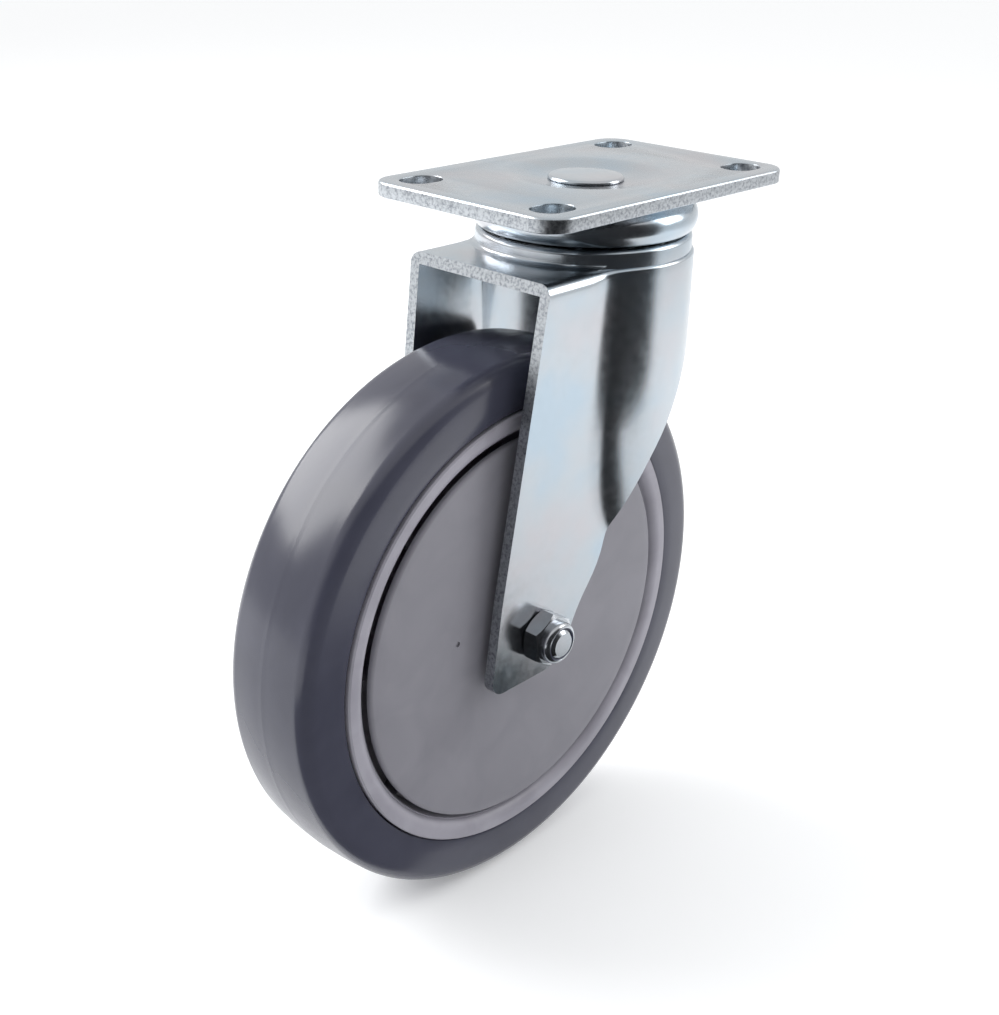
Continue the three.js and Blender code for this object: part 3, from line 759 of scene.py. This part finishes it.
fork_low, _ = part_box("swivel_fork")
FOOT_Z = fork_low.z / MM
front_corner = arc(-48.9, FOOT_Z + 4, 4, 187, 270, 7)
heel = smooth_line([(-32, FOOT_Z), (-27.2, -122.4), (-24, -117.5)], 5)
rear_points = [(-24, -117.5), (-19.5, -109), (-12.6, -99.1), (-9.2, -88), (-2.4, -71.8), (4.2, -60.9)]
rear_points += [(12.5, -47.5), (20, -37.8), (32, -30.6)]
rear = smooth_line(rear_points, 4)
side = [(-38.0, -10.0)] + front_corner + heel + rear[1:] + [(32, -10.0)]
blank = slab("fork_blank", [(x, -40, z) for x, z in side], (0, 1, 0), 80)
cut(fork, blank, "INTERSECT")
axle_low, axle_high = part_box("axle_sleeve")
AXLE_X = (axle_low.x + axle_high.x) / 2 / MM
AXLE_Z = (axle_low.z + axle_high.z) / 2 / MM
drill = [(0, -40), (AXLE_HOLE_R, -40), (AXLE_HOLE_R, 40), (0, 40)]
cut(fork, spun("axle_drill", drill, centre=(AXLE_X, 0, AXLE_Z), axis="Y", steps=48))
settled(fork, 26)


def on_front_or_foot(c, n):
    """The fork's cut edges: the legs' fronts, feet and heels, and the arch in the back."""
    across_sheet = abs(n.y) < 0.03 and c.z < YOKE_TOP - 0.01
    return across_sheet and (n.x < -0.9 or c.z < -100 or (n.z < -0.2 and c.x > -20))


zinc_drawn = zinc_finish("zinc_plated_drawn_sheet", 0.21, 0.6, 0.002, (0, 0, 1), 0.02)
fitted(fork, "fork_assembly", "zinc_plated_steel", ["swivel_fork"], zinc_drawn, zinc_sheared)
sheared(fork, on_front_or_foot)


# ---- lower race ----
# A pressed cup under the fork's head carries the lower balls, and a plain washer under it spreads
# the riveted tail of the king pin. Both are zinc-plated steel.
cup_low, cup_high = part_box("lower_race_cup")
cup_r, cup_rim, cup_floor = cup_high.x / MM, cup_high.z / MM, cup_low.z / MM
outline = [(PIN_HOLE_R, cup_rim - 1.1)] + arc(*LOWER_GROOVE, 239, 301, 8) + [(18.9, cup_rim - 1.1)]
outline += [(19.2, cup_rim - 0.2), (19.5, cup_rim), (cup_r - 0.3, cup_rim), (cup_r, cup_rim - 0.3)]
outline += arc(cup_r - 1.2, cup_floor + 1.2, 1.2, 0, -90, 6) + [(PIN_HOLE_R, cup_floor)]
cup = spun("pressed_lower_race", outline, steps=96)
fitted(cup, "plate_assembly", "zinc_plated_steel", ["lower_race_cup"], zinc_pressed)

disc_low, disc_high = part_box("king_pin_washer")
disc_r, disc_top, disc_foot = disc_high.x / MM, disc_high.z / MM, disc_low.z / MM
outline = [(PIN_HOLE_R, disc_top), (disc_r - 0.2, disc_top), (disc_r, disc_top - 0.2)]
outline += [(disc_r, disc_foot + 0.4), (disc_r - 0.4, disc_foot), (PIN_HOLE_R, disc_foot)]
washer = spun("rivet_washer", outline, steps=72)
fitted(washer, "plate_assembly", "zinc_plated_steel", ["king_pin_washer"], zinc_turned)


# ---- axle bolt ----
# A hexagon head bolt through both legs, made by cold heading with a rolled thread. Its end stands
# just out of the lock nut and has a turned chamfer. Zinc plated.
THREAD_R, THREAD_PITCH, THREAD_DEPTH, THREAD_TURNS = 3.95, 1.25, 0.62, 9
HEX_FLATS = 13.0


def hexagon(name, flats, y0, y1, chamfer_y):
    """A six-sided bar along the axle whose corners are turned off at 30 degrees at chosen ends."""
    corner = flats / math.sqrt(3)
    deselect()
    bpy.ops.mesh.primitive_cylinder_add(
        vertices=6,
        radius=corner * MM,
        depth=(y1 - y0) * MM,
        location=(AXLE_X * MM, (y0 + y1) / 2 * MM, AXLE_Z * MM),
        rotation=(math.pi / 2, 0, 0),
    )
    bar = bpy.context.object
    bar.name = name
    bpy.ops.object.transform_apply(location=True, rotation=True)
    drop = (corner - flats / 2) * math.tan(math.radians(30)) * 1.5
    low = drop if y0 in chamfer_y else -0.5
    high = drop if y1 in chamfer_y else -0.5
    inner = flats / 2 * 0.97
    turned_off = [(0, y0), (inner if low > 0 else corner + 1, y0), (corner + 0.3, y0 + max(low, 0.01))]
    turned_off += [(corner + 0.3, y1 - max(high, 0.01)), (inner if high > 0 else corner + 1, y1), (0, y1)]
    lathe = spun("chamfer_lathe", turned_off, centre=(AXLE_X, 0, AXLE_Z), axis="Y", steps=96)
    cut(bar, lathe, "INTERSECT")
    return settled(bar, 20)


bolt_low, bolt_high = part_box("axle_bolt")
head_face, bolt_end = bolt_high.y / MM, bolt_low.y / MM
nut_low, nut_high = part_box("axle_nut")
leg_face = nut_high.y / MM
under_head = -leg_face
bolt = hexagon("hexagon_axle_bolt", HEX_FLATS, under_head, head_face, (head_face,))
shank = [(0, bolt_end), (3.2, bolt_end), (THREAD_R, bolt_end + 0.75)]
for i in range(THREAD_TURNS):
    y = bolt_end + 0.9 + i * THREAD_PITCH
    shank += [(THREAD_R - THREAD_DEPTH, y + THREAD_PITCH * 0.35), (THREAD_R, y + THREAD_PITCH * 0.7)]
shank += [(THREAD_R, under_head + 1), (0, under_head + 1)]
cut(bolt, spun("shank", shank, centre=(AXLE_X, 0, AXLE_Z), axis="Y", steps=48), "UNION")
settled(bolt, 20)
fitted(bolt, "fork_assembly", "zinc_plated_steel", ["axle_bolt"], zinc_turned)


# ---- lock nut and its insert ----
# A hexagon lock nut. Its round collar is rolled over a nylon ring that grips the thread, so a dark
# ring shows inside the collar's bright lip.
COLLAR_R, COLLAR_LIP_R, COLLAR_ROUND = 5.7, 4.95, 1.3
NUT_BORE_R, NUT_HEX_HEIGHT = 4.15, 5.0
nut_face = nut_low.y / MM
hex_face = leg_face - NUT_HEX_HEIGHT
nut = hexagon("collared_lock_nut", HEX_FLATS, hex_face, leg_face, (hex_face, leg_face))
collar = [(0, hex_face + 0.6), (COLLAR_R, hex_face + 0.6), (COLLAR_R, hex_face - 0.9)]
collar += arc(COLLAR_R - COLLAR_ROUND, nut_face + COLLAR_ROUND, COLLAR_ROUND, 0, -90, 7)[:-1]
collar += [(COLLAR_LIP_R - 0.4, nut_face), (COLLAR_LIP_R - 0.65, nut_face + 0.35)]
collar += [(COLLAR_LIP_R - 0.2, nut_face + 0.8), (0, nut_face + 0.8)]
cut(nut, spun("rolled_collar", collar, centre=(AXLE_X, 0, AXLE_Z), axis="Y", steps=64), "UNION")
bore = [(0, nut_face - 3), (NUT_BORE_R, nut_face - 3), (NUT_BORE_R, leg_face + 3), (0, leg_face + 3)]
cut(nut, spun("tapping_drill", bore, centre=(AXLE_X, 0, AXLE_Z), axis="Y", steps=48))
settled(nut, 24)
fitted(nut, "fork_assembly", "zinc_plated_steel", ["axle_nut"], zinc_turned)

INSERT_BORE_R, INSERT_R = 4.05, 4.9
NYLON_COLOUR, NYLON_SHADE = "3A3F57", "2C3046"
nylon = bpy.data.materials.new("moulded_nylon_dark_blue")
nylon.use_nodes = True
tree = nylon.node_tree
shader = tree.nodes["Principled BSDF"]
shader.inputs["Roughness"].default_value = 0.38
place = add(tree, "TexCoord").outputs["Object"]
flow = add(tree, "TexNoise", values={"Scale": 1 / (1.5 * MM), "Detail": 2.0}, links={"Vector": place})
dye = add(tree, "ValToRGB", links={"Fac": flow.outputs["Fac"]})
dye.color_ramp.elements[0].color = linear(NYLON_SHADE)
dye.color_ramp.elements[1].color = linear(NYLON_COLOUR)
tree.links.new(dye.outputs["Color"], shader.inputs["Base Color"])
outline = [(INSERT_BORE_R, nut_face + 0.25), (4.25, nut_face + 0.1), (4.7, nut_face + 0.15)]
outline += [(INSERT_R, nut_face + 0.45), (INSERT_R, nut_face + 1.2), (INSERT_BORE_R, nut_face + 1.2)]
insert = spun("nylon_locking_ring", outline, centre=(AXLE_X, 0, AXLE_Z), axis="Y", steps=64)
fitted(insert, "fork_assembly", "nylon", ["axle_nut_insert"], nylon)


# ---- axle sleeve and bearings ----
# A ground steel sleeve spaces the legs, and two small ball bearings run on it inside the hub. They
# are shut in behind the guards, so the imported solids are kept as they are.
for node in (
    "axle_sleeve",
    "bearing_inner_ring_near",
    "bearing_outer_ring_near",
    "bearing_balls_near",
    "bearing_inner_ring_far",
    "bearing_outer_ring_far",
    "bearing_balls_far",
):
    kept(node, bearing_steel)


# ---- wheel core ----
# The rigid centre of the wheel, moulded in grey polypropylene: a hub for the bearings, a web with
# radial ribs and a rim whose light face shows as a ring between the tyre and the guard.
RIM_FACE_IN, RIM_FACE_FLAT, RIM_FACE_OUT, RIM_FACE_Y = 55.5, 58.8, 60.6, 15.2
RIBS, RIB_START, RIB_END, RIB_LONG, RIB_HIGH, RIB_WIDE = 8, 18, 54.3, 36.3, 15, 3
CORE_COLOUR, CORE_SHADE = "9B99A3", "8C8A94"


def moulded(name, light, dark, roughness, grain_mm, grain_depth, cloud_mm=14):
    """Moulded plastic or rubber: an even colour with faint flow marks and a fine matt grain."""
    material = bpy.data.materials.new(name)
    material.use_nodes = True
    tree = material.node_tree
    shader = tree.nodes["Principled BSDF"]
    place = add(tree, "TexCoord").outputs["Object"]
    flow = add(
        tree,
        "TexNoise",
        values={"Scale": 1 / (cloud_mm * MM), "Detail": 3.0, "Roughness": 0.5, "Distortion": 0.6},
        links={"Vector": place},
    )
    colour = add(tree, "ValToRGB", links={"Fac": flow.outputs["Fac"]})
    colour.color_ramp.elements[0].position = 0.32
    colour.color_ramp.elements[0].color = linear(dark)
    colour.color_ramp.elements[1].position = 0.68
    colour.color_ramp.elements[1].color = linear(light)
    tree.links.new(colour.outputs["Color"], shader.inputs["Base Color"])
    gloss = add(
        tree,
        "MapRange",
        values={"From Min": 0.3, "From Max": 0.7, "To Min": roughness - 0.04, "To Max": roughness + 0.05},
        links={"Value": flow.outputs["Fac"]},
    )
    tree.links.new(gloss.outputs["Result"], shader.inputs["Roughness"])
    # The mould's spark-eroded grain is finer than this and is drawn coarse enough to show.
    grain = add(
        tree,
        "TexNoise",
        values={"Scale": 1 / (grain_mm * MM), "Detail": 3.0, "Roughness": 0.6},
        links={"Vector": place},
    )
    bump = add(
        tree,
        "Bump",
        values={"Strength": 1.0, "Distance": grain_depth * MM},
        links={"Height": grain.outputs["Fac"]},
    )
    tree.links.new(bump.outputs["Normal"], shader.inputs["Normal"])
    return material


wheel_axis = (AXLE_X, 0, AXLE_Z)
half = [(11, 4.0), (14.3, 4.0), (14.3, 12.0), (14.7, 12.4), (18.1, 12.4), (18.5, 12.0), (19.3, 2.5)]
half += [(53.4, 2.5), (53.9, 3.2), (55.0, 12.0), (RIM_FACE_IN, RIM_FACE_Y - 2.0)]
half += reversed(arc(RIM_FACE_FLAT, RIM_FACE_Y - 3.2, 3.2, 90, 160, 7))
half += [(RIM_FACE_OUT, RIM_FACE_Y)]
half += [(61.0, RIM_FACE_Y - 0.4)]
outline = half + [(r, -y) for r, y in reversed(half)]
core = spun("moulded_wheel_core", outline, centre=wheel_axis, axis="Y", steps=160)
for i in range(RIBS):
    deselect()
    bpy.ops.mesh.primitive_cube_add(
        size=1,
        location=((RIB_START + RIB_END) / 2 * MM, 0, 0),
        scale=(RIB_LONG * MM, RIB_HIGH * MM, RIB_WIDE * MM),
    )
    rib = bpy.context.object
    bpy.ops.object.transform_apply(location=True, scale=True)
    rib.data.transform(Matrix.Rotation(2 * math.pi * i / RIBS, 4, "Y"))
    rib.data.transform(Matrix.Translation(Vector(wheel_axis) * MM))
    cut(core, rib, "UNION")
settled(core, 30)
core_plastic = moulded("moulded_polypropylene_light_grey", CORE_COLOUR, CORE_SHADE, 0.42, 0.5, 0.004)
fitted(core, "wheel", "core_plastic", ["wheel_core"], core_plastic)


# ---- tyre ----
# Grey solid rubber moulded on to the rim, with flat sides, round shoulders and a slightly crowned
# smooth tread. It has a satin sheen from the mould and a faint line where the mould's halves meet.
TYRE_R, TYRE_SEAT, TYRE_HALF, SHOULDER, CROWN = 74.95, 61.25, 14.5, 4.2, 0.65
PARTING = 0.05
TYRE_COLOUR, TYRE_SHADE = "434452", "3C3D4A"
flat = TYRE_HALF - SHOULDER
side = [(TYRE_SEAT, TYRE_HALF - 0.9), (TYRE_SEAT + 0.35, TYRE_HALF - 0.25), (TYRE_SEAT + 1.0, TYRE_HALF)]
side += [(TYRE_SEAT + 4, TYRE_HALF + 0.12), (TYRE_R - CROWN - SHOULDER - 1.2, TYRE_HALF + 0.08)]
side += reversed(arc(TYRE_R - CROWN - SHOULDER, flat, SHOULDER, 4, 86, 12))
side = side[:5] + sorted(side[5:], key=lambda p: p[0])
tread = []
for i in range(1, 12):
    y = flat * (1 - i / 12)
    tread.append((TYRE_R - CROWN * (y / flat) ** 2, y))
half = side + tread
middle = [(TYRE_R + PARTING, 0.12), (TYRE_R + PARTING, -0.12)]
outline = half + middle + [(r, -y) for r, y in reversed(half)]
tyre = spun("rubber_tyre", outline, centre=wheel_axis, axis="Y", steps=220, angle=40)
tyre_rubber = moulded("moulded_grey_rubber", TYRE_COLOUR, TYRE_SHADE, 0.22, 0.9, 0.003, 22)
fitted(tyre, "wheel", "tyre_rubber", ["tyre"], tyre_rubber)


# ---- thread guards ----
# A fixed disc on each side of the wheel, moulded in grey plastic, keeps threads off the bearings.
# Each is clamped between the leg and the bearing, and has a small sunk gate mark.
GUARD_R, GUARD_BORE_R, GUARD_FACE, GUARD_BACK = 54.0, 6.3, 15.1, 13.1
GUARD_COLOUR, GUARD_SHADE = "828189", "7A7981"
GATE_X, GATE_Z, GATE_R, GATE_DEPTH = -24.4, 4.3, 0.9, 0.75
guard_plastic = moulded("moulded_guard_plastic_grey", GUARD_COLOUR, GUARD_SHADE, 0.46, 0.6, 0.004)
for side_name, way in (("near", -1), ("far", 1)):
    guard_low, guard_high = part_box("thread_guard_" + side_name)
    tip = max(abs(guard_low.y), abs(guard_high.y)) / MM
    root = min(abs(guard_low.y), abs(guard_high.y)) / MM
    outline = [(GUARD_BORE_R, root), (9, root), (9, GUARD_BACK), (GUARD_R - 0.4, GUARD_BACK)]
    outline += [(GUARD_R, GUARD_BACK + 0.4)]
    outline += arc(GUARD_R - 0.9, GUARD_FACE - 0.9, 0.9, 0, 90, 5)
    outline += [(GUARD_R - 3.0, GUARD_FACE - 0.08), (30, GUARD_FACE - 0.3), (13, GUARD_FACE - 0.25)]
    outline += [(11.2, GUARD_FACE), (10.5, GUARD_FACE + 0.5), (10.5, tip - 0.3), (10.2, tip)]
    outline += [(GUARD_BORE_R, tip)]
    outline = [(r, way * y) for r, y in outline]
    guard = spun("thread_guard_" + side_name + "_disc", outline, centre=wheel_axis, axis="Y", steps=160)
    punch = [(0, GUARD_FACE - GATE_DEPTH), (GATE_R - 0.2, GUARD_FACE - GATE_DEPTH)]
    punch += [(GATE_R, GUARD_FACE + 1), (0, GUARD_FACE + 1)]
    gate = (AXLE_X + GATE_X, 0, AXLE_Z + GATE_Z)
    cut(guard, spun("gate_mark", [(r, way * y) for r, y in punch], centre=gate, axis="Y", steps=24))
    settled(guard, 30)
    fitted(guard, "fork_assembly", "guard_plastic", ["thread_guard_" + side_name], guard_plastic)
